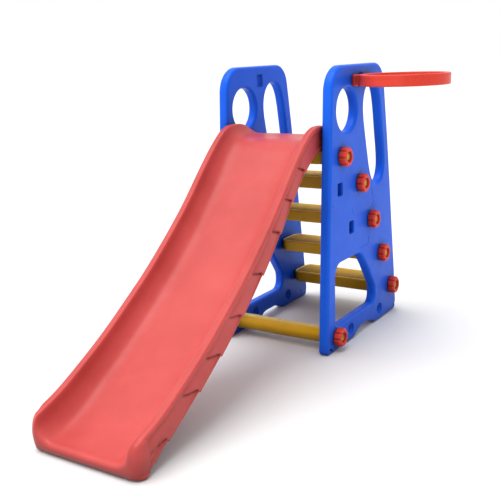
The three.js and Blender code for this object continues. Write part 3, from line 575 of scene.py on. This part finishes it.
def tread(i, y, z):
    top = z + 25.0; bot = top - 46.0; L = 179.6
    f, r = y - 65, y + 65
    def ring(zz, inset, front_in=0.0, n=0):
        c = max(2.0, 32.0 - inset)
        P = filleted([(-L + inset, f + inset + front_in, c), (L - inset, f + inset + front_in, c), (L - inset, r - inset, c), (-L + inset, r - inset, c)], 0.13)
        return [(p[0], p[1], zz) for p in P]
    e = 7.0
    lv = []
    for k_ in range(6):
        a = math.pi / 2 * k_ / 5
        lv.append((bot + e - e * math.cos(a), e - e * math.sin(a)))
    lv = [(zz, ins) for zz, ins in lv]
    tp = []
    et = 5.0
    for k_ in range(6):
        a = math.pi / 2 * k_ / 5
        tp.append((top - 2.2 - et + et * math.sin(a), et - et * math.cos(a)))
    rings = [ring(bot, e + 14, 4), ring(bot, e + 3, 4)]
    rings += [ring(zz, ins, 4.0) for zz, ins in lv]
    rings += [ring(bot + 20, 0, 2.4)]
    rings += [ring(zz, ins, 0.0) for zz, ins in tp]
    rings += [ring(top - 2.2, et + 2, 0), ring(top - 2.7, et + 4.5, 0), ring(top - 2.7, et + 16, 0)]
    V, Fc = prism(rings)
    # anti-slip ribs along the tread
    n = 11
    for k_ in range(n):
        c = f + 16 + (130 - 32) * k_ / (n - 1)
        prof = [(-2.9, -3.6), (-2.5, -1.6), (-1.5, -0.4), (0, 0), (1.5, -0.4), (2.5, -1.6), (2.9, -3.6)]
        edge = min(c - f, r - c)
        xe = L - 13 - max(0, 20 - edge) * 0.9
        xs = [-xe, -xe + 1.6, -xe + 4.5] + list(np.linspace(-xe + 18, xe - 18, 9)) + [xe - 4.5, xe - 1.6, xe]
        sc = [0.0, 0.72, 1.0] + [1.0] * 9 + [1.0, 0.72, 0.0]
        b0 = len(V)
        for x, q in zip(xs, sc):
            for u, h in prof:
                V.append((x, c + u * (0.5 + 0.5 * q), top - 3.6 + (h + 3.6) * q))
        m = len(prof); idx = b0 + np.arange(len(xs) * m).reshape(len(xs), m)
        Fc += grid_faces(idx)
        Fc += [tuple(idx[0]), tuple(reversed(idx[-1]))] + [(idx[a, 0], idx[a, -1], idx[a + 1, -1], idx[a + 1, 0]) for a in range(len(xs) - 1)]
    for sg in (-1, 1):
        tv, tf = thread_mesh(y, z, sg * 178, sg * STUD_END)
        b0 = len(V); V += tv; Fc += [tuple(b0 + k_ for k_ in q) for q in tf]
    ob = make(f"tread_board_{i}", V, Fc, YEL, replaces=[f"tread_{i}"])
    ob.data.set_sharp_from_angle(angle=math.radians(50))
    wn = ob.modifiers.new("weighted", "WEIGHTED_NORMAL"); wn.keep_sharp = True
    return ob
for i, (y, z) in enumerate(TREADS): tread(i + 1, y, z)

def lathe_x(profile, y, z, seg=64, lobe=None):
    """profile: (x, r[, weight]); revolved about the x direction through (y, z); lobe(angle)*weight is added to r"""
    V = []; n = len(profile)
    for p in profile:
        x, r = p[0], p[1]; w = p[2] if len(p) > 2 else 0
        for j in range(seg):
            a = 2 * math.pi * j / seg
            rr = r + (lobe(a) * w if lobe else 0)
            V.append((x, y + rr * math.cos(a), z + rr * math.sin(a)))
    Fc = []
    for i in range(n - 1):
        for j in range(seg):
            Fc.append((i * seg + j, i * seg + (j + 1) % seg, (i + 1) * seg + (j + 1) % seg, (i + 1) * seg + j))
    return V, Fc

def tube():
    y, z = TUBE; L = 179.6
    pr = [(0, 24), (0.6, 26.4), (2, 28.2), (4, 29), (10, 29), (13, 28.9), (16, 28.2), (19, 28.0), (30, 28.0), (60, 28.1), (100, 28.2), (150, 28.3), (179.6, 28.4)]
    prof = [(-L + a, r) for a, r in pr] + [(L - a, r) for a, r in reversed(pr[:-1])]
    V, Fc = lathe_x(prof, y, z, 72)
    Fc.append(tuple(reversed(range(72)))); Fc.append(tuple(range((len(prof) - 1) * 72, len(prof) * 72)))
    for sg in (-1, 1):
        tv, tf = thread_mesh(y, z, sg * 178, sg * STUD_END)
        b0 = len(V); V += tv; Fc += [tuple(b0 + k_ for k_ in q) for q in tf]
    ob = make("cross_tube", V, Fc, YEL, replaces=["front_cross_tube"])
    ob.data.set_sharp_from_angle(angle=math.radians(50))
    return ob
tube()

# ---------------------------------------------------------------- hand nuts
def nut(side, y, z, node):
    x0 = T_OUT + 0.4
    lobe = lambda a: -max(0.0, math.cos(8 * a)) ** 2.6 * 4.6
    pr = [(0, 13.4, 0), (0, 24, 0), (0, 27.6, .35), (0.6, 29.6, .6), (1.8, 31.0, .85), (3.6, 31.8, 1), (7, 32, 1), (12, 32, 1), (17, 32, 1), (20.4, 31.8, 1),
          (22.8, 31.1, .98), (24.7, 29.8, .9), (26.0, 28.0, .72), (26.7, 26.0, .45), (27, 24.2, .2), (26.9, 22.4, .05), (26.5, 20.8, 0), (26.3, 19.6, 0), (25.6, 18.6, 0), (24.0, 18.0, 0),
          (21.6, 17.5, 0), (19.4, 16.9, 0), (18.4, 15.8, 0), (18.1, 14.2, 0), (18.0, 13.0, 0), (10, 12.9, 0), (2, 12.9, 0), (0, 13.4, 0)]
    V, Fc = lathe_x([(side * (x0 + a), r, w) for a, r, w in pr], y, z, 120, lobe)
    ob = make(node + "_knob", V, Fc, RED_NUT, body=node + "_body", replaces=[node])
    ob.data.set_sharp_from_angle(angle=math.radians(60))
    return ob
for nm, (y, z) in [(f"tread_{i + 1}", t) for i, t in enumerate(TREADS)] + [("tube", TUBE)]:
    nut(-1, y, z, f"nut_{nm}_left"); nut(1, y, z, f"nut_{nm}_right")

# ---------------------------------------------------------------- hoop
def hoop():
    z0, z1 = 880.0, 917.0; y = SOCKETS[0][0]; px = T_OUT + 0.4
    cx = px + 6 + 148; ro, ri = 148.0, 133.0
    prof = [(ri + 4, z0), (ro - 4, z0), (ro - 1.6, z0 + .7), (ro - .3, z0 + 2.4), (ro, z0 + 5), (ro - .5, z0 + 12), (ro - .7, z0 + 18), (ro - .5, z0 + 25), (ro, z1 - 5), (ro - .3, z1 - 2.4), (ro - 1.6, z1 - .7), (ro - 4, z1),
            (ri + 4, z1), (ri + 1.6, z1 - .7), (ri + .3, z1 - 2.4), (ri, z1 - 5), (ri + .6, z1 - 12), (ri + .8, z0 + 18), (ri + .6, z0 + 12), (ri, z0 + 5), (ri + .3, z0 + 2.4), (ri + 1.6, z0 + .7)]
    n = len(prof); seg = 160; V = []; Fc = []
    for j in range(seg):
        a = 2 * math.pi * j / seg
        for r, zz in prof: V.append((cx + r * math.cos(a), y + r * math.sin(a), zz))
    idx = np.arange(seg * n).reshape(seg, n)
    Fc += grid_faces(idx, True, True)
    def add(rings):
        v, f = prism(rings); b0 = len(V); V.extend(v); Fc.extend(tuple(b0 + k_ for k_ in q) for q in f)
    # plate against the panel, with a rounded edge
    def rect(w, h, r_, g):
        zc = (z0 + z1) / 2
        return filleted([(y - w - g, zc - h - g, r_ + g), (y + w + g, zc - h - g, r_ + g), (y + w + g, zc + h + g, r_ + g), (y - w - g, zc + h + g, r_ + g)], 0.2)
    add([[(px + a, p[0], p[1]) for p in rect(68, 18.5, 6, g)] for a, g in ((0, -1.6), (.6, -.4), (1.6, 0), (9, 0), (11, -.5), (12, -1.8), (12.4, -4))])
    for s in (-1, 1):
        for y0, y1 in ((57, 63),):
            xr = cx - math.sqrt(140.5 ** 2 - 60 ** 2)
            add([[(x_, y + s * (y0 + g), z0 + 3 + g), (x_, y + s * (y1 - g), z0 + 3 + g), (x_, y + s * (y1 - g), z1 - 3 - g), (x_, y + s * (y0 + g), z1 - 3 - g)] for x_, g in ((px + 6, 0), (xr, 0))])
    add([[(x_, p[0], p[1]) for p in rect(17, 17, 3, g)] for x_, g in ((T_OUT - 18, -2), (T_OUT - 16, -.4), (T_OUT - 12, 0), (px + 2, 0))])
    ob = make("hoop", V, Fc, RED_NUT, body="hoop_body", replaces=["basketball_hoop"])
    ob.data.set_sharp_from_angle(angle=math.radians(45))
    return ob
hoop()

# ---------------------------------------------------------------- studio
def floor():
    S = 80.0; n = 40
    me = bpy.data.meshes.new("floor")
    v = []; f = []
    for j in range(n + 1):
        for i in range(n + 1):
            v.append((S * (i / n - .5), S * (j / n - .5), -0.0006))
    for j in range(n):
        for i in range(n): f.append((j * (n + 1) + i, j * (n + 1) + i + 1, (j + 1) * (n + 1) + i + 1, (j + 1) * (n + 1) + i))
    me.from_pydata(v, [], f)
    o = bpy.data.objects.new("floor", me); bpy.context.scene.collection.objects.link(o)
    m = bpy.data.materials.new("studio_floor"); m.use_nodes = True
    b = m.node_tree.nodes["Principled BSDF"]; b.inputs["Roughness"].default_value = 0.9
    b.inputs["Specular IOR Level"].default_value = 0.1
    nz = m.node_tree.nodes.new("ShaderNodeTexNoise"); nz.inputs["Scale"].default_value = 2
    rp = m.node_tree.nodes.new("ShaderNodeValToRGB")
    rp.color_ramp.elements[0].color = (0.74, 0.74, 0.74, 1); rp.color_ramp.elements[1].color = (0.77, 0.77, 0.77, 1)
    m.node_tree.links.new(nz.outputs["Fac"], rp.inputs["Fac"]); m.node_tree.links.new(rp.outputs["Color"], b.inputs["Base Color"])
    me.materials.append(m)
floor()

w = bpy.data.worlds.new("studio"); w.use_nodes = True
bpy.context.scene.world = w
wt = w.node_tree; bg = wt.nodes["Background"]; bg.inputs[1].default_value = 1.0
wc = wt.nodes.new("ShaderNodeTexCoord"); dv = wt.nodes.new("ShaderNodeVectorMath"); dv.operation = "DOT_PRODUCT"
dv.inputs[1].default_value = (-0.60, 0.62, 0.50)
wt.links.new(wc.outputs["Generated"], dv.inputs[0])
wr = wt.nodes.new("ShaderNodeValToRGB")
wm = wt.nodes.new("ShaderNodeMapRange"); wm.inputs["From Min"].default_value = -1; wm.inputs["From Max"].default_value = 1
wt.links.new(dv.outputs["Value"], wm.inputs["Value"]); wt.links.new(wm.outputs[0], wr.inputs["Fac"])
wr.color_ramp.elements[0].position = 0.10; wr.color_ramp.elements[0].color = (0.16, 0.16, 0.17, 1)
wr.color_ramp.elements[1].position = 0.78; wr.color_ramp.elements[1].color = (1.0, 1.0, 1.0, 1)
sz = wt.nodes.new("ShaderNodeSeparateXYZ"); wt.links.new(wc.outputs["Generated"], sz.inputs[0])
hz = wt.nodes.new("ShaderNodeMapRange"); hz.interpolation_type = "SMOOTHSTEP"
hz.inputs["From Min"].default_value = 0.08; hz.inputs["From Max"].default_value = 0.20
wr2 = wt.nodes.new("ShaderNodeValToRGB")
wr2.color_ramp.elements[0].position = 0.10; wr2.color_ramp.elements[0].color = (0.93, 0.93, 0.93, 1)
wr2.color_ramp.elements[1].position = 0.70; wr2.color_ramp.elements[1].color = (1, 1, 1, 1)
for l_ in list(wt.links):
    if l_.to_node == wr: wt.links.new(l_.from_socket, wr2.inputs["Fac"])
wt.links.new(sz.outputs["Z"], hz.inputs["Value"])
hm = wt.nodes.new("ShaderNodeMix"); hm.data_type = "RGBA"; wt.links.new(wr2.outputs["Color"], hm.inputs["A"])
wt.links.new(hz.outputs[0], hm.inputs["Factor"]); wt.links.new(wr.outputs["Color"], hm.inputs["B"])
wt.links.new(hm.outputs["Result"], bg.inputs[0])

def sun(name, direction, strength, angle):
    L = bpy.data.lights.new(name, "SUN"); L.energy = strength; L.angle = math.radians(angle)
    o = bpy.data.objects.new(name, L); bpy.context.scene.collection.objects.link(o)
    o.rotation_euler = Vector(direction).to_track_quat("-Z", "Y").to_euler()
    return o

def area(name, loc, aim, size, power, color=(1, 1, 1)):
    L = bpy.data.lights.new(name, "AREA"); L.shape = "RECTANGLE"; L.size = size[0]; L.size_y = size[1]
    L.energy = power; L.color = color
    o = bpy.data.objects.new(name, L); bpy.context.scene.collection.objects.link(o)
    o.location = loc
    o.rotation_euler = (Vector(aim) - Vector(loc)).to_track_quat("-Z", "Y").to_euler()
    return o
sun("key", (0.16, 0.26, -0.95), 2.4, 50)
area("front_strip", (0.7, -2.9, 1.25), (0.1, 0.0, .5), (0.30, 1.9), 7.0)
area("left_box", (-2.4, -1.4, 1.6), (0, 0, .5), (1.0, 1.6), 6)

# ---------------------------------------------------------------- camera
cam = bpy.data.cameras.new("camera"); cam.sensor_width = 36.0; cam.lens = 57.02
co = bpy.data.objects.new("camera", cam); bpy.context.scene.collection.objects.link(co)
yaw, pitch, roll = (math.radians(a) for a in (32.736, 14.062, -2.047))
F_ = Vector((-math.sin(yaw) * math.cos(pitch), math.cos(yaw) * math.cos(pitch), -math.sin(pitch)))
Rt = Vector((math.cos(yaw), math.sin(yaw), 0)); Up = Rt.cross(F_)
Rr = Rt * math.cos(roll) + Up * math.sin(roll); Uu = -Rt * math.sin(roll) + Up * math.cos(roll)
M = Matrix((Rr, Uu, -F_)).transposed().to_4x4()
M.translation = Vector((1.21399, -2.04971, 1.00191))
co.matrix_world = M
cam.clip_end = 50
bpy.context.scene.camera = co

bpy.context.scene.view_settings.view_transform = "Standard"
bpy.context.scene.view_settings.look = "None"
